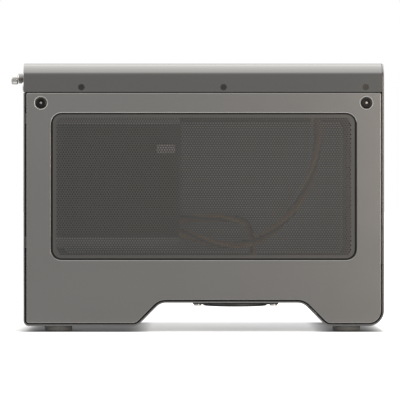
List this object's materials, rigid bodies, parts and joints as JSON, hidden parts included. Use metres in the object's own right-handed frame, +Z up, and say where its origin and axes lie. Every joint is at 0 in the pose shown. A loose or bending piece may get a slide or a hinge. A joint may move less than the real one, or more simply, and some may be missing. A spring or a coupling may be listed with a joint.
{
  "type": "external graphics card enclosure",
  "caption": "Upright desktop enclosure for a graphics card: folded grey metal body with an arched base, perforated side windows, a slide-off hood, power supply and fans.",
  "frame": {"origin": "middle of the outer box on the plane the feet stand on", "axes": "+X towards the front, +Y towards the left side, +Z up; the picture looks along +Y"},
  "size_m": [0.3504, 0.1578, 0.252],
  "materials": {
    "shell": "satin",
    "mesh": "satin",
    "inner_steel": "zinc plated",
    "black_metal": "black, satin",
    "bright_steel": "bright plated",
    "brass": "plain",
    "rubber": "matt",
    "black_plastic": "moulded",
    "circuit_board": "lacquered",
    "aluminium": "plain",
    "sleeving": "braided",
    "light": "clear"
  },
  "bodies": {
    "chassis": {"chassis_wrap": "shell", "side_panel_right": "shell", "side_panel_left": "shell", "side_mesh_right": "mesh", "side_mesh_left": "mesh", "front_mesh": "mesh", "top_frame": "inner_steel", "board_tray": "inner_steel", "slot_ledge": "inner_steel", "front_fan_bracket": "inner_steel", "slot_cover_1": "inner_steel", "slot_cover_2": "inner_steel", "psu_case": "black_metal", "psu_cover": "black_metal", "panel_screws": "black_metal", "bottom_fan_guard": "black_metal", "front_fan_screws": "black_metal", "psu_screws": "bright_steel", "slot_cover_screws": "bright_steel", "bottom_fan_screws": "bright_steel", "mains_pins": "bright_steel", "host_port": "bright_steel", "board_standoffs": "brass", "foot_front_right": "rubber", "foot_front_left": "rubber", "foot_rear_right": "rubber", "foot_rear_left": "rubber", "psu_fan_frame": "black_plastic", "front_fan_frame": "black_plastic", "bottom_fan_frame": "black_plastic", "mains_inlet": "black_plastic", "switch_bezel": "black_plastic", "card_slot": "black_plastic", "power_header": "black_plastic", "board_power_plug": "black_plastic", "card_power_plug": "black_plastic", "cable_clip": "black_plastic", "main_board": "circuit_board", "psu_circuit_board": "circuit_board", "controller_heatsink": "aluminium", "board_capacitors": "aluminium", "card_power_cable": "sleeving", "board_power_cable": "sleeving", "power_light": "light"},
    "hood": {"hood": "shell", "hood_runner_right": "inner_steel", "hood_runner_left": "inner_steel", "hood_screws": "black_metal", "thumbscrew_ferrules": "bright_steel"},
    "thumbscrew_right": {"thumbscrew_right": "bright_steel"},
    "thumbscrew_left": {"thumbscrew_left": "bright_steel"},
    "front_fan_rotor": {"front_fan_rotor": "black_plastic"},
    "bottom_fan_rotor": {"bottom_fan_rotor": "black_plastic"},
    "psu_fan_rotor": {"psu_fan_rotor": "black_plastic"},
    "switch_rocker": {"switch_rocker": "black_plastic"}
  },
  "joints": [
    {"name": "hood_slide", "type": "slide", "parent": "chassis", "child": "hood", "axis": [-1, 0, 0], "range_m": [0, 0.345]},
    {"name": "thumbscrew_right_turn", "type": "hinge", "parent": "hood", "child": "thumbscrew_right", "pos_m": [-0.163, -0.063, 0.2382], "axis": [1, 0, 0], "continuous": true},
    {"name": "thumbscrew_left_turn", "type": "hinge", "parent": "hood", "child": "thumbscrew_left", "pos_m": [-0.163, 0.063, 0.2382], "axis": [1, 0, 0], "continuous": true},
    {"name": "front_fan_spin", "type": "hinge", "parent": "chassis", "child": "front_fan_rotor", "pos_m": [0.1589, 0, 0.1363], "axis": [1, 0, 0], "continuous": true},
    {"name": "bottom_fan_spin", "type": "hinge", "parent": "chassis", "child": "bottom_fan_rotor", "pos_m": [0.036, -0.031, 0.041], "axis": [0, 0, 1], "continuous": true},
    {"name": "psu_fan_spin", "type": "hinge", "parent": "chassis", "child": "psu_fan_rotor", "pos_m": [-0.0809, -0.0195, 0.142], "axis": [0, 1, 0], "continuous": true},
    {"name": "switch_tip", "type": "hinge", "parent": "chassis", "child": "switch_rocker", "pos_m": [-0.1594, -0.0262, 0.107], "axis": [0, -1, 0], "range_deg": [0, 16]}
  ]
}
